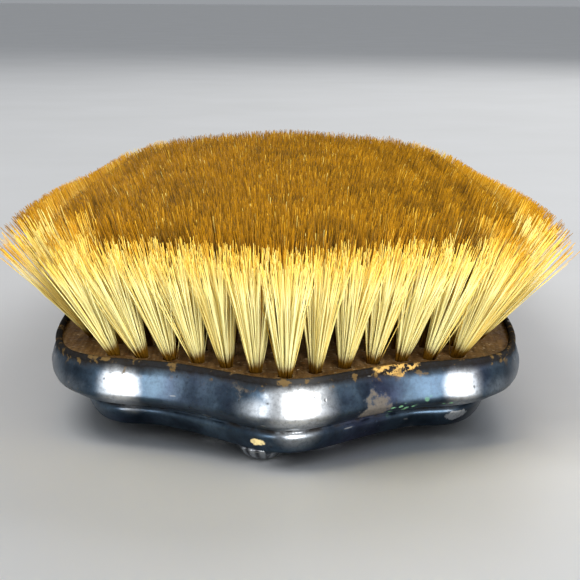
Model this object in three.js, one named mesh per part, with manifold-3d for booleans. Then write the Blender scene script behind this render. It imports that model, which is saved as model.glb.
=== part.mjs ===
// Clothes brush with a pressed, silver-plated back: a drawn bristle brush lying on its back, bristles up.
//
// Units are millimetres. +Z is up, +Y runs along the brush and +X across it. The origin is the centre of the
// flat oval on the underside, which the brush rests on.
//
// From the bottom up: the pressed metal shell, the pitch bed that fills its hollow, the drawing wires, the
// drilled wooden stock that the shell's lip holds down, and one comb of tufts for each row of holes.
import * as THREE from "three";
import { mergeGeometries, mergeVertices } from "three/addons/utils/BufferGeometryUtils.js";
import Module from "manifold-3d";

const wasm = await Module();
wasm.setup();

// ---- Driving dimensions ----------------------------------------------------------------------------------
const LENGTH = 152; // of the shell, tip to tip
const WIDTH = 63.5; // of the shell at its widest
const REST_TO_LIP = 11.2; // height of the rolled lip above the resting face
const WALL = 0.8; // pressed sheet
const LIP_SHEET = 0.45; // the sheet where it is burnished thin over the stock
const LIP_REACH = 1.8; // how far the lip reaches in from the widest outline
const FIT_GAP = 0.3; // clearance between neighbouring pieces
const BACK_RISE = 2.0; // height of the shell's lower edge above the resting face
const RESERVE_HALF_WIDTH = 13; // the flat oval on the underside
const RESERVE_HALF_LENGTH = 24;
const RESERVE_DEPTH = 0.9; // how far that oval stands out from the back
const STOCK_THICKNESS = 5;
const ROWS = 15; // rows of tufts across the brush
const TUFT_PITCH = 6.5; // along a row
const TUFT_ROOT = 1.9; // side of a tuft where it leaves its hole
const ROW_GAP = 0.6; // between neighbouring rows at the bristle tips
const TUFT_TAIL = 0.8; // of each hole left open under the folded root of its tuft
const BRISTLE_LENGTH = 17.5; // above the face of the stock
const TUFT_SPLIT = 7.5; // height above the stock where neighbouring tufts of a row merge
const EDGE_MARGIN = 6; // from the widest outline to the ends of the rows
const SIDE_MARGIN = 6.5; // from the widest outline to the outermost rows
const SIDE_LEAN = THREE.MathUtils.degToRad(30); // outward lean of the outermost rows
const END_LEAN = THREE.MathUtils.degToRad(22); // outward lean of the tufts at both ends of each row
const LEAN_FALLOFF = 5; // power at which that lean dies away towards the middle of a row
const WIRE_DIAMETER = 0.7;
const WIRE_ROOM = 1; // of recess in the pitch round the wires

// ---- Sizes that follow from them -------------------------------------------------------------------------
const LIP_UNDERSIDE = REST_TO_LIP - LIP_SHEET;
const STOCK_TOP = LIP_UNDERSIDE - FIT_GAP;
const STOCK_BOTTOM = STOCK_TOP - STOCK_THICKNESS;
const WIRE_AXIS = STOCK_BOTTOM - FIT_GAP - WIRE_DIAMETER / 2;
const BED_TOP = STOCK_BOTTOM - FIT_GAP;
const BED_RECESS = WIRE_AXIS - WIRE_DIAMETER / 2 - FIT_GAP;
const TUFT_DEPTH = STOCK_THICKNESS - TUFT_TAIL; // of a tuft's folded root in its hole
const FIELD_HALF_WIDTH = WIDTH / 2 - SIDE_MARGIN;
const TIP_HALF_WIDTH = FIELD_HALF_WIDTH + BRISTLE_LENGTH * Math.sin(SIDE_LEAN);
const TIP_PITCH = (2 * TIP_HALF_WIDTH) / (ROWS - 1); // from row to row at the bristle tips
const TUFT_TOP = TIP_PITCH * Math.cos(SIDE_LEAN) - ROW_GAP; // thickness of a row at the bristle tips

// ---- Outline of the shell --------------------------------------------------------------------------------
// One quarter, from the tip of an end to the straight side. x is a share of the half width and setback is the
// distance behind the tip. tuckX and tuckY say how far the lower edge lies inside the widest outline there.
const QUARTER = [
  { x: 0, setback: 0, tuckX: 0, tuckY: 2.4 },
  { x: 0.125, setback: 1.2, tuckX: 0.5, tuckY: 2.6 },
  { x: 0.246, setback: 3.8, tuckX: 1, tuckY: 2.9 },
  { x: 0.431, setback: 7.6, tuckX: 2, tuckY: 3.5 },
  { x: 0.615, setback: 9.6, tuckX: 3.5, tuckY: 4.5 },
  { x: 0.769, setback: 11.2, tuckX: 4, tuckY: 3.4 },
  { x: 0.892, setback: 15, tuckX: 5, tuckY: 2.8 },
  { x: 0.963, setback: 21.5, tuckX: 5.4, tuckY: 1.8 },
  { x: 0.997, setback: 32, tuckX: 5.5, tuckY: 0.9 },
  { x: 1, setback: 50, tuckX: 5.5, tuckY: 0 },
];
const TYPICAL_TUCK = 5.5; // the tuck that the shell's section is drawn at
const STEPS_PER_POINT = 2; // vertices of a ring between two points of the outline

// The quarter's points mirrored all the way round, anticlockwise from the tip at -Y.
function roundTheOutline(place) {
  const down = [...QUARTER].reverse();
  const corners = [
    ...QUARTER.map((q) => [q, 1, -1]),
    ...down.map((q) => [q, 1, 1]),
    ...QUARTER.slice(1).map((q) => [q, -1, 1]),
    ...down.slice(0, -1).map((q) => [q, -1, -1]),
  ];
  return corners.map(([q, sideX, sideY]) => {
    const [x, y] = place(q);
    return new THREE.Vector3(sideX * x, sideY * y, 0);
  });
}

function sampled(points) {
  const curve = new THREE.CatmullRomCurve3(points, true, "centripetal");
  const count = points.length * STEPS_PER_POINT;
  return Array.from({ length: count }, (_, i) => curve.getPoint(i / count));
}

const WIDEST = sampled(roundTheOutline((q) => [(q.x * WIDTH) / 2, LENGTH / 2 - q.setback]));
const LOWER = sampled(
  roundTheOutline((q) => [(q.x * WIDTH) / 2 - q.tuckX, LENGTH / 2 - q.setback - q.tuckY]),
);
// Horizontal unit normals of the widest outline, pointing into the brush.
const INWARD = WIDEST.map((_, i) => {
  const before = WIDEST[(i + WIDEST.length - 1) % WIDEST.length];
  const after = WIDEST[(i + 1) % WIDEST.length];
  const along = after.clone().sub(before).normalize();
  return new THREE.Vector3(-along.y, along.x, 0);
});
const RESERVE = LOWER.map((p) => {
  const angle = Math.atan2(p.y / LENGTH, p.x / WIDTH);
  return new THREE.Vector3(RESERVE_HALF_WIDTH * Math.cos(angle), RESERVE_HALF_LENGTH * Math.sin(angle), 0);
});

// A ring of points. tuck is 0 on the widest outline and 1 on the lower edge. inset moves it inwards from there.
const wallRing = (tuck, inset, z) =>
  WIDEST.map((p, i) => p.clone().lerp(LOWER[i], tuck).addScaledVector(INWARD[i], inset).setZ(z));
// A ring on the back. share is 0 on the lower edge and 1 on the oval, and size scales the result.
const backRing = (share, size, z) =>
  LOWER.map((p, i) => p.clone().lerp(RESERVE[i], share).multiplyScalar(size).setZ(z));

// ---- Solids ----------------------------------------------------------------------------------------------
// A closed solid lofted through rings with the same number of points, from the first ring's centre to the last
// ring's centre.
function loft(rings) {
  const count = rings[0].length;
  const points = rings.flat();
  const faces = [];
  rings.slice(1).forEach((_, r) => {
    for (let i = 0; i < count; i += 1) {
      const a = r * count + i;
      const b = r * count + ((i + 1) % count);
      faces.push(a, b, b + count, a, b + count, a + count);
    }
  });
  const cap = (r, flip) => {
    const centre = new THREE.Vector3(0, 0, rings[r][0].z);
    const hub = points.push(centre) - 1;
    for (let i = 0; i < count; i += 1) {
      const a = r * count + i;
      const b = r * count + ((i + 1) % count);
      faces.push(...(flip ? [hub, b, a] : [hub, a, b]));
    }
  };
  cap(0, true);
  cap(rings.length - 1, false);
  const geometry = new THREE.BufferGeometry().setFromPoints(points);
  geometry.setIndex(faces);
  return geometry;
}

function toSolid(geometry) {
  const bare = new THREE.BufferGeometry();
  bare.setAttribute("position", geometry.getAttribute("position"));
  if (geometry.index) bare.setIndex(geometry.index);
  const merged = mergeVertices(bare, 1e-4);
  return new wasm.Manifold(
    new wasm.Mesh({
      numProp: 3,
      vertProperties: new Float32Array(merged.getAttribute("position").array),
      triVerts: new Uint32Array(merged.index.array),
    }),
  );
}

function toGeometry(solid) {
  const { vertProperties, triVerts } = solid.getMesh();
  const geometry = new THREE.BufferGeometry();
  geometry.setAttribute("position", new THREE.BufferAttribute(vertProperties, 3));
  geometry.setIndex(new THREE.BufferAttribute(triVerts, 1));
  return geometry;
}

// A slab that covers the whole plan between two heights.
function slab(low, high) {
  const box = new THREE.BoxGeometry(2 * WIDTH, 2 * LENGTH, high - low);
  return toSolid(box.translate(0, 0, (low + high) / 2));
}

// ---- Shell -----------------------------------------------------------------------------------------------
// Section of the outside, from the lower edge up to the shoulder of the lip: a narrow lower band, a crease and
// the broad rounded band above it. z is a share of the height from the lower edge to the lip.
const BAND_HEIGHT = REST_TO_LIP - BACK_RISE;
const SECTION = [
  { tuck: 1, inset: 0, z: 0 },
  { tuck: 0.8, inset: 0, z: 0.215 },
  { tuck: 0.74, inset: 0, z: 0.29 },
  { tuck: 0.52, inset: 0, z: 0.35 },
  { tuck: 0.24, inset: 0, z: 0.5 },
  { tuck: 0.07, inset: 0, z: 0.675 },
  { tuck: 0, inset: 0, z: 0.825 },
  { tuck: 0, inset: 0.15, z: 0.925 },
].map((p) => ({ ...p, z: BACK_RISE + p.z * BAND_HEIGHT }));

// The section moved inwards by a thickness, at right angles to itself where the tuck is typical.
function insideSection(thickness) {
  const flat = SECTION.map((p) => new THREE.Vector2(p.tuck * TYPICAL_TUCK + p.inset, p.z));
  return SECTION.map((p, i) => {
    const along = flat[Math.min(i + 1, flat.length - 1)].clone().sub(flat[Math.max(i - 1, 0)]).normalize();
    return { tuck: p.tuck, inset: p.inset + thickness * along.y, z: p.z - thickness * along.x };
  });
}

const ringsOf = (section) => section.map((p) => wallRing(p.tuck, p.inset, p.z));

// Section of the back, from the oval out to the lower edge.
const BACK = [
  { share: 1, size: 0.93, z: 0 },
  { share: 1, size: 1, z: RESERVE_DEPTH },
  { share: 0.5, size: 1, z: RESERVE_DEPTH + 0.15 },
  { share: 0.12, size: 1, z: BACK_RISE - 0.5 },
];
const backRings = (lift) => BACK.map((p) => backRing(p.share, p.size, p.z + lift));

// Section of the rolled lip, over its top and back to the wall. inset is measured from the widest outline and
// drop from the top of the lip.
const LIP = [
  { inset: 0.7, drop: 0.1 },
  { inset: 1.3, drop: 0 },
  { inset: LIP_REACH, drop: 0.15 },
  { inset: LIP_REACH, drop: LIP_SHEET },
  { inset: WALL + 0.3, drop: LIP_SHEET },
];

// Raised bosses near the ends of the back: x and setback from the tip, then half of each extent.
const BOSSES = [
  { x: -2.6, setback: 6.6, rx: 2.8, ry: 2.6, rz: 1.9 },
  { x: 4.2, setback: 12.6, rx: 2.4, ry: 2, rz: 1.3 },
  { x: -8, setback: 14.6, rx: 2.2, ry: 2.2, rz: 1.2 },
];
const BOSS_CLEARANCE = 0.1; // between a boss and the plane that the brush rests on

function makeShell() {
  const inner = insideSection(WALL);
  const lip = LIP.map((p) => wallRing(0, p.inset, REST_TO_LIP - p.drop));
  const outside = [...backRings(0), ...ringsOf(SECTION), ...lip];
  const inside = [...ringsOf(inner).reverse(), ...backRings(WALL).reverse()];
  let shell = toSolid(loft([...outside, ...inside]));
  const hollow = toSolid(loft([...backRings(WALL), ...ringsOf(inner)]));
  for (const boss of BOSSES) {
    for (const end of [-1, 1]) {
      const ball = new THREE.SphereGeometry(1, 8, 6).scale(boss.rx, boss.ry, boss.rz);
      ball.translate(-end * boss.x, end * (LENGTH / 2 - boss.setback), BOSS_CLEARANCE + boss.rz);
      shell = shell.add(toSolid(ball).subtract(hollow));
    }
  }
  return toGeometry(shell);
}

// Everything inside the shell with clearance, up to the top of the stock.
function makeLining() {
  const inset = WALL + FIT_GAP;
  const rings = [...backRings(inset), ...ringsOf(insideSection(inset))];
  return toSolid(loft([...rings, rings.at(-1).map((p) => p.clone().setZ(REST_TO_LIP))]));
}

// ---- Rows of tufts ---------------------------------------------------------------------------------------
const FIELD_EDGE = WIDEST.map((p, i) => p.clone().addScaledVector(INWARD[i], EDGE_MARGIN));

// Half the length of a row at x, where the row meets the edge of the field.
function halfRow(x) {
  let reach = 0;
  FIELD_EDGE.forEach((p, i) => {
    const q = FIELD_EDGE[(i + 1) % FIELD_EDGE.length];
    if ((p.x - x) * (q.x - x) > 0 || p.x === q.x) return;
    const y = THREE.MathUtils.mapLinear(x, p.x, q.x, p.y, q.y);
    reach = Math.max(reach, y);
  });
  return reach;
}

// One row: where it stands, how it leans, and its tufts with their own lean along the brush.
const rowsOfTufts = Array.from({ length: ROWS }, (_, i) => {
  const share = (2 * i) / (ROWS - 1) - 1;
  const x = share * FIELD_HALF_WIDTH;
  const half = halfRow(x);
  const gaps = Math.round((2 * half) / TUFT_PITCH);
  const tufts = Array.from({ length: gaps + 1 }, (_, j) => {
    const y = -half + (2 * half * j) / gaps;
    return { y, lean: END_LEAN * Math.sign(y) * (Math.abs(y) / half) ** LEAN_FALLOFF };
  });
  return { name: String(i + 1).padStart(2, "0"), x, lean: SIDE_LEAN * share, tufts };
});

// Extrudes a flat outline drawn as (along the row, up) into a slice of the given thickness at each height.
function slice(shape, thicknessAt) {
  const geometry = new THREE.ExtrudeGeometry(shape, { depth: 1, bevelEnabled: false });
  const p = geometry.getAttribute("position");
  for (let i = 0; i < p.count; i += 1) {
    const [along, up, side] = [p.getX(i), p.getY(i), p.getZ(i) - 0.5];
    p.setXYZ(i, side * thicknessAt(up), along, up);
  }
  return geometry;
}

const UPRIGHT = THREE.MathUtils.degToRad(1.5); // tufts that lean less than this share one straight top
const leaning = (tuft, height) => tuft.y + height * Math.tan(tuft.lean);

// A comb: separate roots below, one mass of bristle above the height where they merge.
function makeTuftRow(row) {
  const half = TUFT_ROOT / 2;
  const outline = [];
  row.tufts.forEach((tuft, j) => {
    outline.push([tuft.y - half, 0]);
    outline.push([leaning(tuft, -TUFT_DEPTH) - half, -TUFT_DEPTH]);
    outline.push([leaning(tuft, -TUFT_DEPTH) + half, -TUFT_DEPTH]);
    outline.push([tuft.y + half, 0]);
    const next = row.tufts[j + 1];
    if (next) outline.push([(leaning(tuft, TUFT_SPLIT) + leaning(next, TUFT_SPLIT)) / 2, TUFT_SPLIT]);
  });
  const tops = row.tufts.filter((tuft, j) => Math.abs(tuft.lean) > UPRIGHT || j === 0 || !row.tufts[j + 1]);
  for (const tuft of tops.reverse()) {
    const height = BRISTLE_LENGTH * Math.cos(tuft.lean);
    const outermost = tuft === row.tufts[0] || tuft === row.tufts.at(-1);
    const spread = outermost ? (Math.sign(tuft.y) * TUFT_TOP) / 2 : 0;
    outline.push([leaning(tuft, height) + spread, height]);
  }
  const flare = (TUFT_TOP - TUFT_ROOT) / BRISTLE_LENGTH;
  const shape = new THREE.Shape(outline.map(([along, up]) => new THREE.Vector2(along, up)));
  return slice(shape, (up) => TUFT_ROOT + flare * Math.max(up, 0));
}

// The slanting holes of one row, as separate prisms that run through the stock.
function makeHoles(row) {
  const half = TUFT_ROOT / 2 + FIT_GAP;
  const low = -(STOCK_THICKNESS + TUFT_ROOT) / Math.cos(row.lean);
  const high = TUFT_ROOT;
  const prisms = row.tufts.map((tuft) => {
    const corners = [
      [leaning(tuft, low) - half, low],
      [leaning(tuft, low) + half, low],
      [leaning(tuft, high) + half, high],
      [leaning(tuft, high) - half, high],
    ];
    return slice(new THREE.Shape(corners.map((c) => new THREE.Vector2(...c))), () => 2 * half);
  });
  return mergeGeometries(prisms).rotateY(row.lean).translate(row.x, 0, STOCK_TOP);
}

// The wire that runs along the back of the stock under one row, from its first hole to its last.
function makeWire(row) {
  const drop = STOCK_TOP - WIRE_AXIS;
  const reach = row.tufts.at(-1).y - drop * Math.tan(row.tufts.at(-1).lean);
  const wire = new THREE.CylinderGeometry(WIRE_DIAMETER / 2, WIRE_DIAMETER / 2, 2 * reach, 6);
  return wire.translate(row.x - drop * Math.tan(row.lean), 0, WIRE_AXIS);
}

// ---- Stock and pitch bed ---------------------------------------------------------------------------------
function makeStock(lining) {
  let stock = lining.intersect(slab(STOCK_BOTTOM, STOCK_TOP));
  for (const row of rowsOfTufts) stock = stock.subtract(toSolid(makeHoles(row)));
  return toGeometry(stock);
}

// Filled to just under the stock, with a shallow recess that leaves room for the wires.
function makeBed(lining) {
  const drop = STOCK_TOP - BED_RECESS;
  const corners = rowsOfTufts.map((row) => [
    row.x - drop * Math.tan(row.lean) + Math.sign(row.x) * WIRE_ROOM,
    row.tufts.at(-1).y + WIRE_ROOM,
  ]);
  const round = [...corners, ...corners.toReversed().map(([x, y]) => [x, -y])];
  const shape = new THREE.Shape(round.toReversed().map((c) => new THREE.Vector2(...c)));
  const recess = new THREE.ExtrudeGeometry(shape, { depth: STOCK_THICKNESS, bevelEnabled: false });
  const bed = lining.intersect(slab(0, BED_TOP));
  return toGeometry(bed.subtract(toSolid(recess.translate(0, 0, BED_RECESS))));
}

// ---- Materials and assembly ------------------------------------------------------------------------------
const silver = new THREE.MeshStandardMaterial({ color: 0x66707c, roughness: 0.25, metalness: 1 });
const wood = new THREE.MeshStandardMaterial({ color: 0x7a5a30, roughness: 0.7, metalness: 0 });
const pitch = new THREE.MeshStandardMaterial({ color: 0x1c1612, roughness: 0.6, metalness: 0 });
const brass = new THREE.MeshStandardMaterial({ color: 0xb58d3d, roughness: 0.35, metalness: 1 });
const bristle = new THREE.MeshStandardMaterial({ color: 0xe3c060, roughness: 0.55, metalness: 0 });

function piece(name, geometry, material) {
  const mesh = new THREE.Mesh(geometry, material);
  mesh.name = name;
  return mesh;
}

const brush = new THREE.Group();
const lining = makeLining();
brush.add(piece("back_shell", makeShell(), silver));
brush.add(piece("pitch_bed", makeBed(lining), pitch));
brush.add(piece("drilled_stock", makeStock(lining), wood));
for (const row of rowsOfTufts) {
  brush.add(piece(`drawing_wire_${row.name}`, makeWire(row), brass));
  const tufts = piece(`tuft_row_${row.name}`, makeTuftRow(row), bristle);
  tufts.position.set(row.x, 0, STOCK_TOP);
  tufts.rotation.y = row.lean;
  brush.add(tufts);
}

export default brush;
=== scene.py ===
"""Looks for the clothes brush: a smooth shell with its relief, a bored stock, real bristles, materials,
floor, light and camera. Shapes are worked out in millimetres and turned into metres when a mesh is made."""

import math

import bpy
import numpy as np
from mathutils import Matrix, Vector
from mathutils.geometry import delaunay_2d_cdt


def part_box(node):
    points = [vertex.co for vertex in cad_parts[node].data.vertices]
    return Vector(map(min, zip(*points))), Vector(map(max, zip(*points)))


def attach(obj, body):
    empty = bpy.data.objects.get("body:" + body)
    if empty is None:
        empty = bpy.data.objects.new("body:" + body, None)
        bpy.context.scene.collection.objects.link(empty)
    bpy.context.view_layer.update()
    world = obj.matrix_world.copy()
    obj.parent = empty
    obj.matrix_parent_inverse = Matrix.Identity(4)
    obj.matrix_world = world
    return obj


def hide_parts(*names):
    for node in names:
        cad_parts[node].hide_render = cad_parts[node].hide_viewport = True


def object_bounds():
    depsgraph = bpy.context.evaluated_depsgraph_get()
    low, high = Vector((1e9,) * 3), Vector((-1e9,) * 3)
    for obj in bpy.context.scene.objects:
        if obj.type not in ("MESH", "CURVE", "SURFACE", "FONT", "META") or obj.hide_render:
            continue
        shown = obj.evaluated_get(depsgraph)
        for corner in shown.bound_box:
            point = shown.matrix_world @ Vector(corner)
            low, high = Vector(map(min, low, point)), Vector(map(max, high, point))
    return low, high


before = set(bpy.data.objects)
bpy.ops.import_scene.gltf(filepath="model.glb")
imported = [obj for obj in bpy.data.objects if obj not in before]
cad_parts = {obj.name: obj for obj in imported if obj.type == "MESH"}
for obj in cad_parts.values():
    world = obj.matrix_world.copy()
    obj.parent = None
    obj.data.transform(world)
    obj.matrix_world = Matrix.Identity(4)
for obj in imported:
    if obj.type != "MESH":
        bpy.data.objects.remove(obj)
CAD_LOW, CAD_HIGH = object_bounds()
MM = 0.001


def box_mm(node):
    low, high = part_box(node)
    return np.array(low) / MM, np.array(high) / MM


# ---- Sizes taken from the frame ---------------------------------------------------------------------------
SHELL_LOW, SHELL_HIGH = box_mm("back_shell")
STOCK_LOW, STOCK_HIGH = box_mm("drilled_stock")
WIDTH, LENGTH = (SHELL_HIGH - SHELL_LOW)[:2]
STOCK_TOP = STOCK_HIGH[2]
STOCK_BOTTOM = STOCK_LOW[2]
TIP_TOP = CAD_HIGH[2] / MM
BRISTLE_LENGTH = TIP_TOP - STOCK_TOP
TUFT_ROWS = sorted(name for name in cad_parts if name.startswith("tuft_row_"))
WIRES = sorted(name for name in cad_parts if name.startswith("drawing_wire_"))

# ---- Sizes of the finish ----------------------------------------------------------------------------------
RING = 612  # vertices round the shell
FULLNESS = 2.5  # how much longer the band stays full on its way down at the ends
SECTION_STEPS, BACK_STEPS, OUTLINE_STEPS = 3, 9, 40  # of the curves through the points below
STOCK_GAP = 1.25  # from the widest outline to the edge of the stock
STOCK_TUCK = 0.55  # how far the bottom of the stock lies inwards, where 1 is the shell's lower edge
EDGE_STEP = 3  # the stock's edge has one point for this many of the shell's outline
FACE_SINK = 0.1  # of the worn face below the CAD stock's top
FACE_GRID, FACE_JITTER = 0.9, 0.2  # spacing and unevenness of the points between the holes
ROOT_RADIUS = 0.76  # of a tuft where it leaves its hole
HOLE_RADIUS = 0.92
HOLE_RIM = 0.35  # width of the worn edge round a hole
HOLE_DEPTH = 2.5
BRISTLES = 155  # in one tuft
BRISTLE_RADIUS = 0.068
FLARE = 2.9  # how much farther a tuft's outer bristles spread at their tips than at the root
BULGE = 3  # how far the tips on the sides stand out in the middle
DRAWN_IN = 3.2  # how strongly they draw in instead towards the ends
TRIM = 0.6  # how unevenly the side bristles are cut: longer in the near half and shorter in the far half
END_TRIM = 0.07  # share that the outermost bristles are cut shorter by at both ends
RIM_REACH = 9.9  # from the edge of the shell to the last tuft that counts as an outer one
SIDE_REACH = 50  # half the length of the outermost rows
SUNK = 1.2  # depth in its hole at which a bristle starts
BROKEN, STRAY, ODD = 0.07, 0.025, 0.025  # shares of bristles that are short, stand apart, differ in colour
VARIED_FLARE, VARIED_CUT, VARIED_LEAN, STRAY_LEAN, VARIED_BOW = 0.3, 0.5, 0.3, 1.9, 0.18  # deviations
# Tone of the inner tufts, dark with painted shade, and of the outer ones, pale with painted light
SHADED_INNER_TONE, INNER_VARIES = 0.68, 0.15
LIT_OUTER_TONE, OUTER_VARIES = 0.16, 0.07
LIT_OUTSIDE, AMBER_SIDES = 0.17, 0.36  # changes of the outer tone: paler on a tuft's outside, painted light, and more amber at the sides
TONES = 64  # steps of bristle colour

# One quarter of the shell's outline, from the tip of an end to the straight side, as in the CAD model: share
# of the half width, distance behind the tip, and how far the lower edge lies inside there, in x and in y.
QUARTER = [
    (0, 0, 0, 2.4),
    (0.125, 1.2, 0.5, 2.6),
    (0.246, 3.8, 1, 2.9),
    (0.431, 7.6, 2, 3.5),
    (0.615, 9.6, 3.5, 4.5),
    (0.769, 11.2, 4, 3.4),
    (0.892, 15, 5, 2.8),
    (0.963, 21.5, 5.4, 1.8),
    (0.997, 32, 5.5, 0.9),
    (1, 50, 5.5, 0),
]
RESERVE_HALF = np.array([13, 24])  # the flat oval on the underside

# Outside of the shell from the lower edge over the lip, as (tuck, inset, height): tuck is 0 on the widest
# outline and 1 on the lower edge, and inset moves inwards from there.
SECTION = [
    (1, 0.4, 1.78),
    (1, 0.12, 1.84),
    (0.985, 0, 2.05),
    (0.93, -0.03, 2.6),
    (0.885, -0.05, 3.2),
    (0.86, -0.02, 3.7),
    (0.86, 0.08, 4.1),
    (0.87, 0.24, 4.4),
    (0.82, 0.2, 4.66),
    (0.7, 0.03, 4.95),
    (0.56, 0, 5.35),
    (0.4, 0, 5.95),
    (0.22, 0, 6.5),
    (0.09, 0.1, 7.1),
    (0.03, 0.23, 7.7),
    (0, 0.38, 8.3),
    (0, 0.55, 8.9),
    (0, 0.74, 9.5),
    (0, 0.93, 10),
    (0, 0.97, 10.3),
    (0, 0.89, 10.58),
    (0, 0.92, 10.86),
    (0, 1.05, 11.09),
    (0, 1.28, 11.16),
    (0, 1.52, 11.1),
    (0, 1.72, 10.95),
    (0, 1.8, 10.74),
    (0, 1.7, 10.6),
]
INSIDE = [(0, 1, 10.6), (0, 0.9, 9), (0.2, 0.9, 7), (0.7, 0.9, 5), (0.95, 1, 3), (0.95, 2, 2.6)]
SHEET = 0.7  # thickness of the back

# The back, as (share, size, height): share is 0 on the lower edge and 1 on the oval, and size scales it.
BACK = [
    (0.03, 1, 1.7),
    (0.12, 1, 1.5),
    (0.5, 1, 1.05),
    (0.94, 1, 0.92),
    (1, 1, 0.86),
    (1, 0.97, 0.3),
    (1, 0.93, 0.02),
]
BORDER_PLACE, BORDER_WIDTH, BORDER_DEPTH, BEAD_PITCH = 2.2, 0.7, 0.32, 4.2  # gadroons round the back

# Bosses on the back: across the brush, distance behind the tip, and half sizes in x, y and z.
BOSSES = [(-2.6, 6.6, 2.8, 2.6, 1.9), (4.2, 12.6, 2.4, 2, 1.3), (-8, 14.6, 2.2, 2.2, 1.2)]
BOSS_CLEARANCE = 0.1
REEDS = 12  # on each boss
REED_STEPS = 6  # corners across one reed
CAP_RINGS = 12  # from the middle of a boss to its edge
CAP_SIZE, REED_HEIGHT = 1.03, 0.045  # shares of the boss's own size


# ---- Curves and meshes ------------------------------------------------------------------------------------
def curve_through(points, steps, closed):
    """Centripetal Catmull-Rom curve through the points, with this many steps from each to the next."""
    p = np.array(points, float)
    ends = (p[-1:], p[:2]) if closed else (2 * p[:1] - p[1:2], 2 * p[-1:] - p[-2:-1])
    p = np.concatenate([ends[0], p, ends[1]])
    span = np.sqrt(np.linalg.norm(np.diff(p, axis=0), axis=1))[:, None]
    before, here, after = span[:-2], span[1:-1], span[2:]
    a, b, c, d = p[:-3], p[1:-2], p[2:-1], p[3:]
    out = ((b - a) / before - (c - a) / (before + here) + (c - b) / here) * here
    into = ((c - b) / here - (d - b) / (here + after) + (d - c) / after) * here
    t = (np.arange(steps) / steps)[None, :, None]
    b, c, out, into = (v[:, None] for v in (b, c, out, into))
    curve = b + out * t + (3 * (c - b) - 2 * out - into) * t**2 + (2 * (b - c) + out + into) * t**3
    curve = curve.reshape(-1, p.shape[1])
    return curve if closed else np.concatenate([curve, p[-2:-1]])


def mirrored(quarter):
    """The quarter's points all the way round, anticlockwise from the tip at -Y."""
    down = quarter[::-1]
    return np.concatenate([
        quarter * [1, -1], down, quarter[1:] * [-1, 1], down[:-1] * [-1, -1],
    ])


def softened(ring, passes):
    for _ in range(passes):
        ring = (np.roll(ring, 1, axis=0) + 2 * ring + np.roll(ring, -1, axis=0)) / 4
    return ring


def outlines():
    """The widest outline and the lower edge with matching points, evenly spaced along the first."""
    q = np.array(QUARTER)
    wide = np.stack([q[:, 0] * WIDTH / 2, LENGTH / 2 - q[:, 1]], axis=1)
    rings = [curve_through(mirrored(r), OUTLINE_STEPS, True) for r in (wide, wide - q[:, 2:])]
    closed = np.concatenate([rings[0], rings[0][:1]])
    along = np.concatenate([[0], np.cumsum(np.linalg.norm(np.diff(closed, axis=0), axis=1))])
    places = np.arange(RING) / RING * along[-1]
    even = [
        np.stack([np.interp(places, along, np.append(r[:, k], r[0, k])) for k in (0, 1)], axis=1)
        for r in rings
    ]
    return [softened(r, 12) for r in even] + [places]


WIDEST, LOWER, AROUND = outlines()
ahead = np.roll(WIDEST, -1, axis=0) - np.roll(WIDEST, 1, axis=0)
ahead /= np.linalg.norm(ahead, axis=1)[:, None]
INWARD = np.stack([-ahead[:, 1], ahead[:, 0]], axis=1)


def wall_ring(tuck, inset, z):
    """One ring of the sides. Towards the ends the band stays full farther down before it tucks in."""
    tuck = max(tuck, 0)  # a curve through SECTION runs slightly below 0
    full = 1 + FULLNESS * INWARD[:, 1:] ** 2 * (1 - tuck)
    flat = WIDEST + (LOWER - WIDEST) * tuck**full + INWARD * inset
    return np.column_stack([flat, np.full(RING, z)])


def make_object(name, points, faces, smooth=True):
    """A mesh object from points in millimetres and faces given as arrays of corners."""
    mesh = bpy.data.meshes.new(name)
    mesh.from_pydata((np.asarray(points) * MM).tolist(), [], faces)
    mesh.polygons.foreach_set("use_smooth", np.full(len(mesh.polygons), smooth))
    piece = bpy.data.objects.new(name, mesh)
    bpy.context.scene.collection.objects.link(piece)
    return piece


def stand_for(piece, node, material):
    """Puts a piece in the place of a node of the frame."""
    piece.data.materials.append(material)
    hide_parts(node)
    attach(piece, "root")


def waves(points, length, seed, count=14):
    """Smooth noise from -1 to 1, made of waves of about this length in random directions."""
    rng = np.random.default_rng(seed)
    way = rng.normal(size=(count, points.shape[1]))
    way /= np.linalg.norm(way, axis=1)[:, None]
    rate = 2 * np.pi / (length * rng.uniform(0.7, 1.6, count))
    phase = rng.uniform(0, 2 * np.pi, count)
    return np.sin(points @ (way * rate[:, None]).T + phase).sum(axis=1) / math.sqrt(count)


# ---- Shell ------------------------------------------------------------------------------------------------
def back_rings():
    """Rings on the back, from the oval out to the lower edge, close together where the relief is."""
    rows = curve_through(BACK[::-1], BACK_STEPS, False)
    angle = np.arctan2(LOWER[:, 1] / LENGTH, LOWER[:, 0] / WIDTH)
    oval = RESERVE_HALF * np.column_stack([np.cos(angle), np.sin(angle)])
    rings = []
    for share, size, z in rows:
        flat = (LOWER + (oval - LOWER) * share) * size
        rings.append(np.column_stack([flat, np.full(RING, z)]))
    return rings


def hump(value, middle, width):
    """1 at the middle, falling off smoothly on both sides."""
    return np.exp(-(((value - middle) / width) ** 2))


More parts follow.
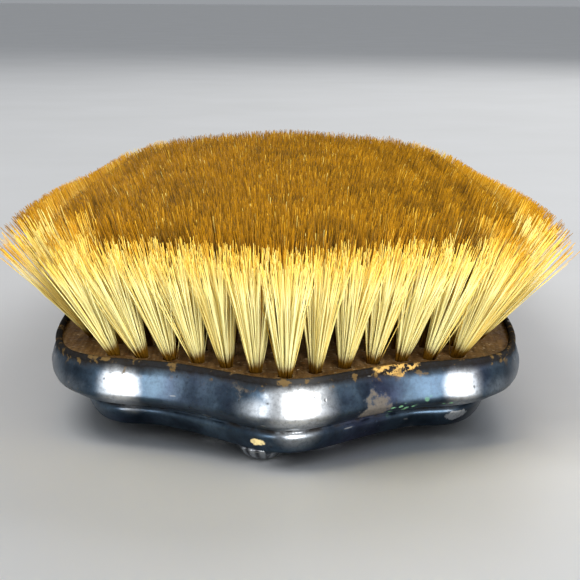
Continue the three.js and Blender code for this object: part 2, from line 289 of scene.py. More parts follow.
def with_relief(ring):
    """Raises the bosses near both ends and a border of gadroons round the edge of the back. Gives the ring
    and how much each of its points is rubbed bright; on the bosses this is partly painted light."""
    x, y, z = ring.T
    border = hump(np.linalg.norm(ring[:, :2] - LOWER, axis=1), BORDER_PLACE, BORDER_WIDTH)
    beads = np.abs(np.cos(np.pi * AROUND / BEAD_PITCH))
    z = z - BORDER_DEPTH * border * (0.35 + 0.65 * beads)
    bright = 0.5 * border * beads
    for end in (-1, 1):
        for bx, setback, rx, ry, rz in BOSSES:
            dx = (x + end * bx) / rx
            dy = (y - end * (LENGTH / 2 - setback)) / ry
            inside = np.sqrt(np.clip(1 - dx**2 - dy**2, 0, None))
            z = np.where(inside > 0, np.minimum(z, BOSS_CLEARANCE + rz * (1 - inside)), z)
            # The bosses: rubbed bright, and painted brighter still as painted light against the shade under
            # the shell
            bright = np.where(inside > 0, 0.8, bright)
    return np.column_stack([x, y, np.maximum(z, 0)]), bright


def reeded_cap(end, boss):
    """The ridged skin of one boss: its points, how bright they are, from 1 in the valleys to 2, and its
    faces, which close it."""
    bx, setback, rx, ry, rz = boss
    centre = np.array([-end * bx, end * (LENGTH / 2 - setback), BOSS_CLEARANCE + rz])
    count = REED_STEPS * REEDS
    around = np.arange(count) / count * 2 * np.pi
    down = np.radians(np.linspace(4, 84, CAP_RINGS))[:, None]
    ridge = np.cos(REEDS * around) * np.sin(down)
    size = CAP_SIZE + REED_HEIGHT * ridge
    flat = np.stack([rx * np.cos(around) * np.sin(down), ry * np.sin(around) * np.sin(down)], axis=2)
    height = np.broadcast_to(-rz * np.cos(down), ridge.shape)
    points = centre + np.dstack([flat, height]) * size[:, :, None]
    faces = [list(range(count))[::-1], list(range((CAP_RINGS - 1) * count, CAP_RINGS * count))]
    for low in range(0, (CAP_RINGS - 1) * count, count):
        high = low + count
        for i in range(count):
            j = (i + 1) % count
            faces.append([low + i, low + j, high + j, high + i])
    return points.reshape(-1, 3), (1.5 + 0.5 * ridge).ravel(), faces


def rubbed_and_painted_highlight(ring):
    """How much each point of the sides is rubbed bright and carries a painted highlight: most on the lobes,
    which stand out.
    """
    flat = LOWER - (np.roll(LOWER, RING // 20, axis=0) + np.roll(LOWER, -RING // 20, axis=0)) / 2
    out = -(flat * INWARD).sum(axis=1)
    on_band, on_low_band = hump(ring[:, 2], 7.3, 2.4), hump(ring[:, 2], 2.9, 0.8)
    return 0.65 * np.clip(out / np.percentile(out, 96), 0, 1) * (on_band + 0.6 * on_low_band)


def dented(ring):
    """Slight waves and knocks of a thin pressed sheet that has long been in use."""
    depth = 0.025 * waves(ring, 9, 3) + 0.012 * waves(ring, 3.5, 4)
    moved = ring.copy()
    moved[:, :2] += INWARD * (0.05 + depth)[:, None]
    return moved


def lofted(rings):
    """Points and faces of a closed skin through the rings, with a hub in the first and in the last."""
    points = np.concatenate([*rings, [[0, 0, rings[0][0, 2]], [0, 0, rings[-1][0, 2]]]])
    bottom, top = len(points) - 2, len(points) - 1
    here = np.arange(RING)
    after = np.roll(here, -1)
    last = (len(rings) - 1) * RING
    faces = []
    for low in range(0, last, RING):
        high = low + RING
        faces += np.column_stack([here + low, after + low, after + high, here + high]).tolist()
    faces += [[bottom, after[i], i] for i in here.tolist()]
    faces += [[top, last + i, last + after[i]] for i in here.tolist()]
    return points, faces


def make_shell():
    back, bright = zip(*[with_relief(ring) for ring in back_rings()])
    outside = [dented(wall_ring(*row)) for row in curve_through(SECTION, SECTION_STEPS, False)]
    inside = [wall_ring(*row) for row in INSIDE]
    floor = [ring + [0, 0, SHEET] for ring in back_rings()[::-6]]
    # Per point: rubbed wear together with painted highlight, kept as an attribute of the shell
    rubbed = [*bright, *[rubbed_and_painted_highlight(ring) for ring in outside]]
    points, faces = lofted([*back, *outside, *inside, *floor])
    values = np.zeros(len(points))
    values[: len(rubbed) * RING] = np.concatenate(rubbed)
    for end in (-1, 1):
        for boss in BOSSES:
            cap, ridges, cap_faces = reeded_cap(end, boss)
            faces += [[corner + len(points) for corner in face] for face in cap_faces]
            points = np.concatenate([points, cap])
            values = np.concatenate([values, ridges])
    piece = make_object("shell_surface", points, faces)
    layer = piece.data.attributes.new("rubbed_and_painted_highlight", "FLOAT", "POINT")
    layer.data.foreach_set("value", values)
    return piece


# ---- Tufts, found in the frame ----------------------------------------------------------------------------
def clusters(points):
    """Points grouped by their place along the brush."""
    points = points[np.argsort(points[:, 1])]
    breaks = np.where(np.diff(points[:, 1]) > 2 * ROOT_RADIUS + 0.6)[0] + 1
    return [group.mean(axis=0) for group in np.split(points, breaks)]


def tufts_of(node):
    """Where each tuft of a row leaves the stock, and its direction there."""
    co = np.array([v.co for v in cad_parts[node].data.vertices]) / MM
    co = np.unique(co.round(3), axis=0)
    above = co[:, 2] - STOCK_TOP
    at_face = clusters(co[np.abs(above) < 1.2])
    at_root = clusters(co[above < -2])
    return [(a, (a - b) / np.linalg.norm(a - b)) for a, b in zip(at_face, at_root, strict=True)]


TUFTS = {row: tufts_of(row) for row in TUFT_ROWS}
ALL_TUFTS = [tuft for row in TUFT_ROWS for tuft in TUFTS[row]]
HOLE_CENTRES = np.array([at[:2] for at, _ in ALL_TUFTS])


# ---- Stock ------------------------------------------------------------------------------------------------
def circle(centre, radius, count=14):
    angle = np.arange(count) / count * 2 * np.pi
    return centre + radius * np.column_stack([np.cos(angle), np.sin(angle)])


def is_inside(points, ring):
    """Which points lie inside a closed ring."""
    odd = np.zeros(len(points), bool)
    for a, b in zip(ring, np.roll(ring, -1, axis=0)):
        spans = (a[1] > points[:, 1]) != (b[1] > points[:, 1])
        if spans.any():
            x = a[0] + (points[:, 1] - a[1]) / (b[1] - a[1]) * (b[0] - a[0])
            odd ^= spans & (points[:, 0] < x)
    return odd


def around(loop):
    """Each corner of a closed loop with the next one."""
    return zip(loop, loop[1:] + loop[:1])


def stock_edge(gap):
    return (WIDEST + INWARD * gap)[::EDGE_STEP]


def to_nearest_hole(points):
    """Distance of each point from the centre of the nearest hole."""
    return np.min(np.linalg.norm(points[:, None] - HOLE_CENTRES[None], axis=2), axis=1)


def face_grid():
    """Uneven grid of points on the face, clear of the holes and of the edge."""
    x = slice(-WIDTH / 2, WIDTH / 2, FACE_GRID)
    y = slice(-LENGTH / 2, LENGTH / 2, FACE_GRID)
    grid = np.mgrid[x, y].reshape(2, -1).T
    grid = grid + np.random.default_rng(11).uniform(-FACE_JITTER, FACE_JITTER, grid.shape)
    clear_of_holes = to_nearest_hole(grid) > HOLE_RADIUS + 0.75
    return grid[clear_of_holes & is_inside(grid, stock_edge(STOCK_GAP + 0.5))]


def stock_face():
    """The face of the stock with a round opening for each tuft: its flat points, its triangles, and the
    loops of corners of its edge and of each opening."""
    loops = [stock_edge(STOCK_GAP), *[circle(c, HOLE_RADIUS) for c in HOLE_CENTRES]]
    rims = [circle(c, HOLE_RADIUS + HOLE_RIM) for c in HOLE_CENTRES]
    flat = np.concatenate([*loops, *rims, face_grid()])
    corners = []
    for loop in loops:
        start = corners[-1][-1] + 1 if corners else 0
        corners.append(list(range(start, start + len(loop))))
    sides = [side for loop in corners for side in around(loop)]
    made, _, faces, origin, _, _ = delaunay_2d_cdt([Vector(p) for p in flat], sides, [], 0, 1e-5)
    made = np.array(made)
    middle = made[np.array(faces)].mean(axis=1)
    kept = (to_nearest_hole(middle) > HOLE_RADIUS * 0.96) & is_inside(middle, loops[0])
    faces = [list(face) for face, keep in zip(faces, kept) if keep]
    place = {source: new for new, sources in enumerate(origin) for source in sources}
    return made, faces, [[place[corner] for corner in loop] for loop in corners]


def make_stock():
    flat, faces, (edge, *holes) = stock_face()
    rim = np.clip(1 - (to_nearest_hole(flat) - HOLE_RADIUS) / HOLE_RIM, 0, 1)
    rough = 0.03 * waves(flat * [1, 0.25], 1.6, 21) + 0.02 * waves(flat, 2.5, 22)
    height = STOCK_TOP - FACE_SINK + np.clip(rough, -0.08, 0.08) - 0.05 * rim
    points = np.column_stack([flat, height]).tolist()
    wear = rim.tolist()
    for corner in edge:
        wear[corner] = 1.0
    for loop, (_, lean) in zip(holes, ALL_TUFTS, strict=True):
        ring = list(range(len(points), len(points) + len(loop)))
        points += [(np.array(points[corner]) - lean * HOLE_DEPTH).tolist() for corner in loop]
        wear += [1.0] * len(loop)
        faces += [[a, b, d, c] for (a, b), (c, d) in zip(around(loop), around(ring))]
        faces.append(ring)
    lower = list(range(len(points), len(points) + len(edge)))
    bottom = (WIDEST + (LOWER - WIDEST) * STOCK_TUCK + INWARD * STOCK_GAP)[::EDGE_STEP]
    points += [[*place, STOCK_BOTTOM] for place in bottom]
    wear += [0.0] * len(edge)
    faces += [[a, c, d, b] for (a, b), (c, d) in zip(around(edge), around(lower))]
    faces.append(lower[::-1])
    piece = make_object("stock_block", points, faces, smooth=False)
    layer = piece.data.attributes.new("wear", "FLOAT", "POINT")
    layer.data.foreach_set("value", wear)
    return piece


# ---- Bristles ---------------------------------------------------------------------------------------------
RINGS_ALONG = np.array([0, 0.28, 0.62, 1])  # of a bristle's length, where it has a ring of corners
THICKNESS_ALONG = np.array([1, 0.98, 0.85, 0.55])
SIDES = 3


def unit(v):
    return v / np.linalg.norm(v, axis=-1, keepdims=True)


def rim_at(at):
    """How much a tuft is one of the outer ones, from 0 to 1, and the direction that is outwards there."""
    from_edge = np.linalg.norm(WIDEST - at[:2], axis=1)
    nearest = np.argmin(from_edge)
    return np.clip((RIM_REACH - from_edge[nearest]) / 1.5, 0, 1), -INWARD[nearest]


def place_on_brush(at):
    """From -1 on one side and at the near end to 1 on the other side and at the far end."""
    return 2 * at[:2] / [WIDTH, LENGTH]


def bristle_lengths(at, rng):
    """How far each bristle of one tuft stands out of the stock, cut a little unevenly, a few broken off."""
    length = BRISTLE_LENGTH - 0.1 - np.abs(rng.normal(0, VARIED_CUT, (BRISTLES, 1)))
    length -= (rng.uniform(size=(BRISTLES, 1)) < BROKEN) * rng.uniform(0.5, 3, (BRISTLES, 1))
    across, along = place_on_brush(at)
    length *= 1 - TRIM * across**4 * along * (1 - along**2)
    rim, outward = rim_at(at)
    return length * (1 - END_TRIM * rim * abs(outward[1]))


def bristle_lines(at, lean, rng):
    """Root, middle and tip of each bristle of one tuft, in millimetres, and its tone."""
    across = unit(np.cross(lean, [0, 1, 0]))
    forward = np.cross(across, lean)
    angle = rng.uniform(0, 2 * np.pi, BRISTLES)
    share = np.sqrt(rng.uniform(0, 1, BRISTLES))
    spread = np.column_stack([np.cos(angle), np.sin(angle)]) * share[:, None]
    sideways = spread[:, :1] * across + spread[:, 1:] * forward
    flare = FLARE + rng.normal(0, VARIED_FLARE, (BRISTLES, 1))
    length = bristle_lengths(at, rng)
    wander = rng.normal(0, VARIED_LEAN, (BRISTLES, 3))
    stray = rng.uniform(size=(BRISTLES, 1)) < STRAY
    wander += stray * rng.normal(0, STRAY_LEAN, (BRISTLES, 3))
    x, y = place_on_brush(at)
    bulge = BULGE * x * (1 - DRAWN_IN * y**2)
    aim = lean * BRISTLE_LENGTH + sideways * flare + wander + [bulge, 0, 0]
    root = at + sideways * (ROOT_RADIUS - SUNK * FLARE / BRISTLE_LENGTH) - lean * SUNK
    tip = at + sideways * ROOT_RADIUS + unit(aim) * length
    bow = rng.normal(0, VARIED_BOW, (BRISTLES, 3)) - sideways * 0.12
    middle = (root + tip) / 2 + bow
    return root, middle, tip, bristle_tones(at, spread, rng)


def bristle_tones(at, spread, rng):
    """Tone of each bristle: pale straw up to 0.3, straw with amber tips up to 0.5, then darker and darker
    all along, painted shade in the inner tufts. The outer bristles of the outer tufts are the palest,
    painted light."""
    rim, outward = rim_at(at)
    facing_out = spread @ outward
    patch = 0.045 * waves(at[None, :2], 16, 31)[0] + rng.normal(0, 0.05)
    # Inner tufts: dark, painted shade
    inner = SHADED_INNER_TONE + patch + rng.normal(0, INNER_VARIES, BRISTLES)
    # Outer tufts: pale, painted light, palest where a bristle faces outwards
    outer = LIT_OUTER_TONE - LIT_OUTSIDE * facing_out + 0.4 * patch + rng.normal(0, OUTER_VARIES, BRISTLES)
    on_side = np.clip((SIDE_REACH - abs(at[1])) / 8, 0, 1) * (abs(outward[0]) > 0.9)
    outer += on_side * AMBER_SIDES
    tone = inner + (outer - inner) * rim
    odd = rng.uniform(size=BRISTLES) < ODD
    tone = np.where(odd, rng.uniform(0, 1, BRISTLES), tone)
    return np.clip(tone, 0.01, 0.99)


def bristle_corners(root, middle, tip, rng):
    """Corners of the bristles, each a curve with rings of corners from its root to its tip."""
    t = RINGS_ALONG[None, :, None]
    root, middle, tip = (p[:, None] for p in (root, middle, tip))
    control = 2 * middle - (root + tip) / 2
    spine = (1 - t) ** 2 * root + 2 * t * (1 - t) * control + t**2 * tip
    way = unit(tip - root)
    side = unit(np.cross(way, unit(rng.normal(size=way.shape))))
    other = np.cross(way, side)
    radius = BRISTLE_RADIUS * rng.uniform(0.75, 1.25, (len(root), 1)) * THICKNESS_ALONG
    angle = np.arange(SIDES) / SIDES * 2 * np.pi
    turn = np.cos(angle)[:, None] * side[:, :, None] + np.sin(angle)[:, None] * other[:, :, None]
    return (spine[:, :, None] + radius[:, :, None, None] * turn).reshape(-1, 3)


def faces_of_one():
    """Faces of one bristle. Each is its corners, their places across a column of the map, and up it."""
    top = (len(RINGS_ALONG) - 1) * SIDES
    faces = []
    for ring in range(len(RINGS_ALONG) - 1):
        heights = RINGS_ALONG[[ring, ring, ring + 1, ring + 1]]
        for side in range(SIDES):
            a, b = ring * SIDES + side, ring * SIDES + (side + 1) % SIDES
            faces.append(([a, b, b + SIDES, a + SIDES], [0.2, 0.8, 0.8, 0.2], heights))
    faces.append(([2, 1, 0], [0.2, 0.8, 0.5], [0, 0, 0.02]))
    faces.append(([top, top + 1, top + 2], [0.2, 0.8, 0.5], [1, 1, 0.98]))
    return faces


def make_bristles(row, seed):
    """All bristles of one row, with a map that has a column for each tone and goes from root to tip."""
    rng = np.random.default_rng(seed)
    lines = [bristle_lines(at, lean, rng) for at, lean in TUFTS[row]]
    root, middle, tip, tones = (np.concatenate([line[k] for line in lines]) for k in range(4))
    points = bristle_corners(root, middle, tip, rng)
    first = np.arange(len(root))[:, None] * len(RINGS_ALONG) * SIDES
    column = (np.floor(tones * TONES) / TONES)[:, None]
    faces, places = [], []
    for corners, across, up in faces_of_one():
        faces += (first + corners).tolist()
        across = column + np.array(across) / TONES
        places.append(np.stack([across, np.broadcast_to(up, across.shape)], axis=2).reshape(-1, 2))
    piece = make_object(row.replace("tuft_row", "bristles"), points, faces)
    layer = piece.data.uv_layers.new(name="OFBake")
    layer.data.foreach_set("uv", np.concatenate(places).ravel())
    return piece


# ---- Materials --------------------------------------------------------------------------------------------
# Places of single marks on the near end of the shell, in millimetres.
WORN_PATCHES = [((10.4, -69, 6.4), 1.9), ((-9.3, -69, 6), 1), ((-26, -61, 6.2), 1.5)]
# A painted highlight on the lower band at the right corner
PAINTED_CORNER_HIGHLIGHT = (21.8, -62.3, 3.1)
# Painted highlights on the near lobes, as places and radii
PAINTED_HIGHLIGHTS = [((2.2, -75.4, 7.9), 4), ((-19.9, -64.5, 7), 2.7), ((21.4, -63.8, 7.2), 2.5)]
RUBBED_LIP = (13, -67.6, 10.9)
GREEN_PLACES = [(14, -67, 6.2), (17, -66, 6.6), (19.8, -65.5, 6.8)]
PLASTER_CHIP = (-3.6, -73, 2.9)

# Colours of the plate, as linear red, green and blue
STEEL_BLUES = [(0.3, (0.018, 0.028, 0.042)), (0.5, (0.045, 0.07, 0.1)), (0.7, (0.1, 0.15, 0.2))]
# Silver of the rubbed places and of the painted highlights
SILVER_AND_PAINTED_HIGHLIGHT = (0.8, 0.82, 0.83)
BLACKENED = (0.03, 0.03, 0.035)
VIOLET = (0.07, 0.055, 0.14)
WORN_BROWN = (0.13, 0.11, 0.085)
# Near-black grime with painted shade, over the lip and in the crease
GRIME_AND_PAINTED_SHADE = (0.012, 0.009, 0.006)
BARE_BRASS = (0.62, 0.38, 0.11)
VERDIGRIS = (0.17, 0.38, 0.2)
PALE_PLASTER = (0.75, 0.6, 0.28)
DARK_GRAIN = (0.025, 0.028, 0.035)
BROWN_SPOTS = (0.16, 0.1, 0.035)
DARK_PITS = (0.03, 0.026, 0.025)
PALE_NICKS = (0.5, 0.5, 0.48)


class Material:
    """A node material, with short calls for the nodes it is made of. place is the point in millimetres."""

    def __init__(self, name):
        self.made = bpy.data.materials.new(name)
        self.made.use_nodes = True
        self.tree = self.made.node_tree
        self.shader = self.tree.nodes["Principled BSDF"]
        coordinates = self.node("ShaderNodeTexCoord").outputs["Object"]
        self.place = self.stretched(coordinates, (1 / MM,) * 3)

    def node(self, kind, inputs=(), **settings):
        made = self.tree.nodes.new(kind)
        for name, value in settings.items():
            setattr(made, name, value)
        for name, value in dict(inputs).items():
            self.put(value, made.inputs[name])
        return made

    def put(self, value, socket):
        if isinstance(value, bpy.types.NodeSocket):
            self.tree.links.new(value, socket)
        else:
            socket.default_value = value

    def set(self, **inputs):
        """Sets the shader's inputs, which are named in small letters here."""
        for name, value in inputs.items():
            self.put(value, self.shader.inputs[name.replace("_", " ").title().replace("Ior", "IOR")])

    def stretched(self, vector, scale):
        return self.node("ShaderNodeMapping", {"Vector": vector, "Scale": scale}).outputs["Vector"]

    def noise(self, length, detail=4, stretch=(1, 1, 1), roughness=0.55):
        """Noise from 0 to 1 whose features are about this many millimetres across."""
        vector = self.stretched(self.place, stretch)
        inputs = {"Vector": vector, "Scale": 1 / length, "Detail": detail, "Roughness": roughness}
        return self.node("ShaderNodeTexNoise", inputs).outputs["Fac"]

    def cells(self, length):
        """Distance from the nearest of many scattered points, about this many millimetres apart."""
        inputs = {"Vector": self.place, "Scale": 1 / length}
        return self.node("ShaderNodeTexVoronoi", inputs).outputs["Distance"]

    def attribute(self, name):
        return self.node("ShaderNodeAttribute", attribute_name=name).outputs["Fac"]

    def between(self, value, low, high, start=0.0, end=1.0):
        """start at low and below, end at high and above, smooth in between."""
        inputs = {"Value": value, "From Min": low, "From Max": high, "To Min": start, "To Max": end}
        return self.node("ShaderNodeMapRange", inputs, interpolation_type="SMOOTHSTEP").outputs["Result"]

    def math(self, operation, a, b):
        """The result is kept from 0 to 1."""
        return self.node("ShaderNodeMath", {0: a, 1: b}, operation=operation, use_clamp=True).outputs[0]

    def both(self, a, b):
        return self.math("MULTIPLY", a, b)

    def either(self, a, b):
        return self.math("MAXIMUM", a, b)

    def ramp(self, value, stops):
        made = self.node("ShaderNodeValToRGB", {"Fac": value})
        ramp = made.color_ramp
        for _ in stops[2:]:
            ramp.elements.new(0.5)
        for element, (place, _) in zip(ramp.elements, stops):
            element.position = place
        for element, (_, colour) in zip(ramp.elements, stops):
            element.color = (*colour, 1)  # after all have moved, because moving can reorder them
        return made.outputs["Color"]

    def mix(self, factor, a, b):
        made = self.node("ShaderNodeMix", data_type="RGBA")
        self.put(factor, made.inputs["Factor"])
        for value, socket in ((a, made.inputs[6]), (b, made.inputs[7])):
            self.put((*value, 1) if isinstance(value, tuple) else value, socket)
        return made.outputs[2]

    def painted(self, colour, mask, paint, strength):
        """The colour with this much of a paint over it where the mask is 1."""
        return self.mix(self.both(mask, strength), colour, paint)

    def patch(self, centre, radius, ragged, flat=1.0):
        """1 within about this distance of a point, 0 outside, with an edge that the noise makes uneven.
        flat divides its height."""
        inputs = {0: ragged, 1: 2.4 * radius, 2: self.apart(centre, flat)}
        uneven = self.node("ShaderNodeMath", inputs, operation="MULTIPLY_ADD").outputs[0]
        return self.between(uneven, 2.1 * radius, 2.35 * radius, 1, 0)

    def apart(self, centre, flat):
        """Distance from a point in millimetres, with heights counted this many times."""
        place = self.stretched(self.place, (1, 1, flat))
        inputs = {0: place, 1: (*centre[:2], centre[2] * flat)}
        return self.node("ShaderNodeVectorMath", inputs, operation="DISTANCE").outputs["Value"]

    def height(self):
        return self.node("ShaderNodeSeparateXYZ", {"Vector": self.place}).outputs["Z"]

    def bump(self, height, distance):
        inputs = {"Height": height, "Distance": distance * MM, "Strength": 1.0}
        self.put(self.node("ShaderNodeBump", inputs).outputs["Normal"], self.shader.inputs["Normal"])


def polish_and_painted_highlights(m, clouds, ragged):
    """Where the plate is rubbed bright on what stands out, with painted highlights on the near lobes and at
    one corner.
    """
    mask = m.math("ADD", m.math("MINIMUM", m.attribute("rubbed_and_painted_highlight"), 0.8), m.both(clouds, 0.5))
    mask = m.between(mask, 0.55, 1.5)
    for place, radius in PAINTED_HIGHLIGHTS:
        apart = m.math("DIVIDE", m.apart(place, 0.75), 2 * radius)
        uneven = m.math("ADD", apart, m.both(clouds, 0.3))
        mask = m.either(mask, m.between(uneven, 0.28, 0.85, 1, 0))
    # A painted highlight at one corner of the lower band
    corner = m.patch(PAINTED_CORNER_HIGHLIGHT, 1.9, ragged, flat=3)
    return m.either(mask, m.both(corner, 0.6))


def worn_off(m, ragged):
    """Brown patches where the plate is gone."""
    mask = m.between(m.noise(6, detail=7, roughness=0.72), 0.61, 0.67)
    for place, radius in WORN_PATCHES:
        mask = m.either(mask, m.patch(place, radius, ragged))
    return mask


def grime_and_painted_shade(m, height, ragged):
    """Grime and painted shade over the lip and, in places, in the crease."""
    uneven = m.math("ADD", m.math("DIVIDE", height, 20), m.both(ragged, 0.08))
    crease = m.both(m.between(height, 3.9, 4.35), m.between(height, 4.65, 5.2, 1, 0))
    return m.either(m.between(uneven, 0.5, 0.57), m.both(crease, m.between(ragged, 0.35, 0.6)))


def rubbed_through(m, height, ragged):
    """Brass on the lip: small spots all along it and one long torn one."""
    spots = m.between(m.noise(5, detail=6, roughness=0.75), 0.68, 0.72)
    torn = m.between(m.noise(0.9, detail=5, roughness=0.7), 0.44, 0.5)
    long_spot = m.both(m.patch(RUBBED_LIP, 3, ragged, flat=3), torn)
    return m.either(m.both(spots, m.between(height, 9.8, 10.9)), long_spot)


def green_specks(m, height, ragged):
    """Verdigris just above the crease."""
    around = m.between(m.noise(14, detail=2), 0.54, 0.62)
    for place in GREEN_PLACES:
        around = m.either(around, m.patch(place, 1.5, ragged))
    low = m.both(m.between(height, 3.6, 4.3), m.between(height, 6, 7.4, 1, 0))
    mask = m.both(m.both(m.between(m.cells(1.1), 0.34, 0.22), low), around)
    for place in GREEN_PLACES:
        mask = m.either(mask, m.patch(place, 0.5, ragged, flat=1.6))
    return mask


def fine_marks(m, colour, height, ragged):
    """Adds grain, brown spots under the lip, pits and nicks. Gives the colour and the marks' relief."""
    grain = m.noise(0.45, detail=3, roughness=0.7)
    colour = m.mix(m.between(grain, 0.42, 0.7, 0, 0.35), colour, DARK_GRAIN)
    brown = m.both(m.between(height, 8.9, 10.4), m.between(m.noise(1.3, detail=5), 0.57, 0.63))
    colour = m.painted(colour, brown, BROWN_SPOTS, 0.7)
    pits = m.both(m.between(m.cells(1.7), 0.13, 0.05), m.between(ragged, 0.48, 0.54))
    colour = m.painted(colour, pits, DARK_PITS, 0.55)
    nicks = m.between(m.noise(0.8, detail=1, stretch=(0.25, 0.25, 1.5)), 0.73, 0.77)
    colour = m.painted(colour, nicks, PALE_NICKS, 0.5)
    relief = m.math("SUBTRACT", 1.0, m.both(pits, 0.6))
    relief = m.math("SUBTRACT", relief, m.both(nicks, 0.15))
    return colour, m.math("SUBTRACT", relief, m.both(m.between(ragged, 0.3, 0.7), 0.12))


def silver_plate():
    """Old silver plate gone dark steel blue, with clouds of violet, bright places and all its marks."""
    m = Material("silver_plate")
    clouds = m.noise(8, detail=6, roughness=0.62)
    ragged = m.noise(2.4, detail=6, roughness=0.7)
    height = m.height()
    colour = m.ramp(clouds, STEEL_BLUES)
    # Bright silver where the plate is rubbed and where highlights are painted
    colour = m.mix(polish_and_painted_highlights(m, clouds, ragged), colour, SILVER_AND_PAINTED_HIGHLIGHT)
    reeds = m.attribute("rubbed_and_painted_highlight")
    valleys = m.both(m.between(reeds, 0.9, 1), m.between(reeds, 1, 1.7, 1, 0))
    colour = m.painted(colour, valleys, BLACKENED, 0.9)
    violet = m.between(m.noise(17, detail=3), 0.5, 0.7)
    colour = m.painted(colour, violet, VIOLET, 0.4)
    worn = worn_off(m, ragged)
    colour = m.painted(colour, worn, WORN_BROWN, 0.85)
    # Grime and painted shade, darkening the lip and the crease
    grime_and_shade = grime_and_painted_shade(m, height, ragged)
    colour = m.painted(colour, grime_and_shade, GRIME_AND_PAINTED_SHADE, 0.95)
    colour = m.mix(rubbed_through(m, height, ragged), colour, BARE_BRASS)
    green = green_specks(m, height, ragged)
    colour = m.mix(green, colour, VERDIGRIS)
    plaster = m.patch(PLASTER_CHIP, 1.1, ragged, flat=2.2)
    colour = m.mix(plaster, colour, PALE_PLASTER)
    colour, relief = fine_marks(m, colour, height, ragged)
    dull = m.either(m.either(m.either(grime_and_shade, worn), green), plaster)
    rough = m.between(m.noise(4, detail=6, roughness=0.65), 0.3, 0.7, 0.3, 0.44)
    rough = m.math("ADD", rough, m.both(dull, 0.5))
    metallic = m.between(dull, 0, 0.9, 1, 0)
    m.set(base_color=colour, roughness=rough, metallic=metallic, specular_ior_level=0.03)
    m.bump(m.math("ADD", relief, m.both(plaster, 0.4)), 0.06)
    return m.made


def old_wood():
    """Tan varnished wood with grain along the brush, dust, dark stains and pale chipped holes and edge."""
    m = Material("old_wood")
    grain = m.noise(0.55, detail=6, stretch=(1, 0.09, 1), roughness=0.6)
    tans = [(0.3, (0.07, 0.032, 0.01)), (0.5, (0.15, 0.08, 0.026)), (0.7, (0.24, 0.14, 0.055))]
    colour = m.ramp(grain, tans)
    dust = m.noise(0.9, detail=8, roughness=0.75)
    colour = m.mix(m.between(dust, 0.5, 0.66, 0, 0.65), colour, (0.34, 0.22, 0.1))
    stain = m.between(m.noise(9, detail=3), 0.45, 0.65)
    colour = m.painted(colour, stain, (0.08, 0.04, 0.015), 0.5)
    chips = m.both(m.attribute("wear"), m.between(m.noise(0.8, detail=4), 0.4, 0.5))
    colour = m.painted(colour, chips, (0.5, 0.35, 0.18), 0.7)
    specks = m.both(m.between(m.cells(0.8), 0.26, 0.14), m.between(m.noise(2.6, detail=3), 0.45, 0.6))
    colour = m.painted(colour, specks, (0.62, 0.5, 0.32), 0.75)
    rough = m.between(dust, 0.35, 0.65, 0.32, 0.75)
    m.set(base_color=colour, roughness=rough, specular_ior_level=0.2)
    m.bump(m.math("ADD", m.both(grain, 0.5), m.both(dust, 0.5)), 0.12)
    return m.made


def bristle_hair():
    """Hog bristle. Across the map the tone goes from pale, painted light, to dark amber, painted shade, and
    up it from root to tip.
    """
    m = Material("bristle_hair")
    uv = m.node("ShaderNodeUVMap", uv_map="OFBake").outputs["UV"]
    parts = m.node("ShaderNodeSeparateXYZ", {"Vector": uv})
    tone, along = parts.outputs["X"], parts.outputs["Y"]
    # Pale tones are painted light on the outer tufts, the darkest ones painted shade among the inner tufts
    body = m.ramp(tone, [
        (0.0, (1.0, 0.93, 0.46)), (0.2, (0.97, 0.8, 0.27)), (0.4, (0.9, 0.66, 0.16)),
        (0.47, (0.75, 0.46, 0.06)), (0.56, (0.2, 0.09, 0.008)), (0.8, (0.1, 0.045, 0.004)),
        (1.0, (0.06, 0.025, 0.003)),
    ])
    tips = m.ramp(tone, [
        (0.0, (0.96, 0.8, 0.26)), (0.15, (0.92, 0.66, 0.12)), (0.27, (0.84, 0.5, 0.05)),
        (0.38, (0.6, 0.28, 0.006)), (0.6, (0.42, 0.19, 0.003)), (0.8, (0.26, 0.12, 0.003)),
        (0.95, (0.13, 0.065, 0.004)),
    ])
    colour = m.mix(m.between(along, 0.76, 0.96), body, tips)
    # Darker at the root: stain and painted shade
    root = m.ramp(tone, [(0.0, (0.3, 0.145, 0.01)), (1.0, (0.13, 0.055, 0.006))])
    colour = m.mix(m.between(along, 0.12, 0.2, 1, 0), colour, root)
    m.set(base_color=colour, roughness=m.between(along, 0.0, 0.3, 0.6, 0.42), specular_ior_level=0.12)
    return m.made


def pitch():
    m = Material("pitch")
    lumps = m.noise(3, detail=6)
    colour = m.ramp(lumps, [(0.3, (0.02, 0.014, 0.01)), (0.7, (0.07, 0.05, 0.035))])
    m.set(base_color=colour, roughness=m.between(lumps, 0.3, 0.7, 0.45, 0.8))
    m.bump(lumps, 0.3)
    return m.made


def brass_wire():
    m = Material("brass_wire")
    drawn = m.noise(0.4, detail=4, stretch=(1, 0.05, 1))
    colour = m.ramp(drawn, [(0.3, (0.22, 0.14, 0.05)), (0.7, (0.5, 0.36, 0.14))])
    m.set(base_color=colour, roughness=m.between(drawn, 0.3, 0.7, 0.3, 0.55), metallic=1.0)
    m.bump(drawn, 0.02)
    return m.made


def pale_floor():
    m = Material("pale_floor")
    cloud = m.noise(60, detail=3)
    m.set(base_color=m.ramp(cloud, [(0.3, (0.76, 0.76, 0.75)), (0.7, (0.8, 0.8, 0.795))]), roughness=0.5)
    return m.made


# ---- Building the brush -----------------------------------------------------------------------------------
stand_for(make_shell(), "back_shell", silver_plate())
stand_for(make_stock(), "drilled_stock", old_wood())
hair = bristle_hair()
for seed, row in enumerate(TUFT_ROWS):
    stand_for(make_bristles(row, seed), row, hair)


def repaint(nodes, material):
    """Keeps the CAD shapes of the nodes and gives them a material."""
    for name in nodes:
        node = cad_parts[name]
        node.data.materials.clear()
        node.data.materials.append(material)


repaint(["pitch_bed"], pitch())
repaint(WIRES, brass_wire())

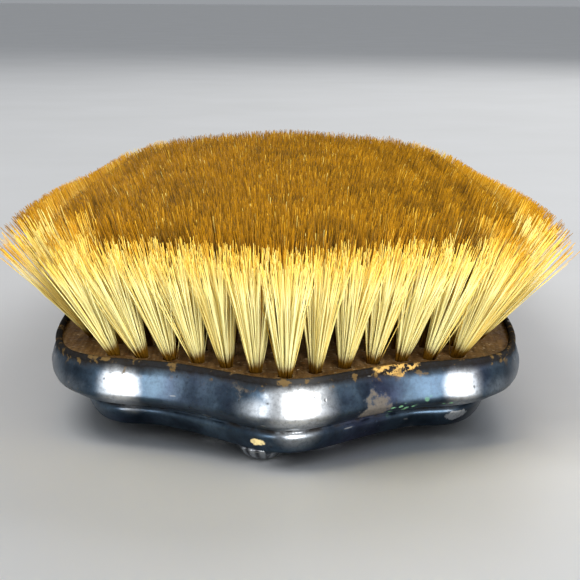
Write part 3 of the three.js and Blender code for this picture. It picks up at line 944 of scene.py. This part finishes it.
# ---- Floor, light and camera, in metres -------------------------------------------------------------------
FLOOR_RADIUS = 12.0
BRUSH_MIDDLE = Vector((0, 0, 0.015))


def make_floor():
    bpy.ops.mesh.primitive_circle_add(vertices=96, radius=FLOOR_RADIUS, fill_type="NGON")
    floor = bpy.context.object
    floor.name = "floor"
    floor.data.materials.append(pale_floor())
    return floor


def soft_light(name, place, size, watts):
    """A rectangular lamp that faces the middle of the brush."""
    data = bpy.data.lights.new(name, "AREA")
    data.shape = "RECTANGLE"
    data.size, data.size_y = size
    data.energy = watts
    lamp = bpy.data.objects.new(name, data)
    lamp.location = place
    lamp.rotation_euler = (BRUSH_MIDDLE - lamp.location).to_track_quat("-Z", "Y").to_euler()
    bpy.context.scene.collection.objects.link(lamp)
    return lamp


def light_the_room(floor):
    """Two large lamps and the world light everything. Three low ones light only the brush."""
    world = bpy.data.worlds.new("room")
    world.use_nodes = True
    background = world.node_tree.nodes["Background"]
    background.inputs["Color"].default_value = (0.9, 0.94, 1.0, 1)
    background.inputs["Strength"].default_value = 0.36
    bpy.context.scene.world = world
    bpy.context.scene.view_settings.view_transform = "Standard"
    low_lamps = [
        soft_light("key", (0.17, -0.5, 0.14), (0.2, 0.26), 3.0),
        soft_light("left strip", (-0.39, -0.5, 0.14), (0.05, 0.26), 1.4),
        soft_light("right strip", (0.4, -0.5, 0.14), (0.05, 0.26), 1.2),
    ]
    unlit = bpy.data.collections.new("floor that the low lamps leave alone")
    unlit.objects.link(floor)
    unlit.collection_objects[0].light_linking.link_state = "EXCLUDE"
    for lamp in low_lamps:
        lamp.light_linking.receiver_collection = unlit
    soft_light("top", (-0.3, -0.1, 0.7), (0.4, 0.4), 2)
    soft_light("back", (0.3, 0.7, 0.6), (0.5, 0.5), 3)


CAMERA_PLACE = Vector((0.0003, -0.2392, 0.0544))
CAMERA_TILT = math.radians(11.24)  # below the horizon
CAMERA_ROLL = math.radians(-0.33)
CAMERA_LENS = 91.2


def make_camera():
    data = bpy.data.cameras.new("camera")
    data.lens = CAMERA_LENS
    data.clip_start = 0.01
    data.clip_end = 100
    camera = bpy.data.objects.new("camera", data)
    camera.location = CAMERA_PLACE
    camera.rotation_euler = (math.pi / 2 - CAMERA_TILT, CAMERA_ROLL, 0)
    bpy.context.scene.collection.objects.link(camera)
    bpy.context.scene.camera = camera


light_the_room(make_floor())
make_camera()
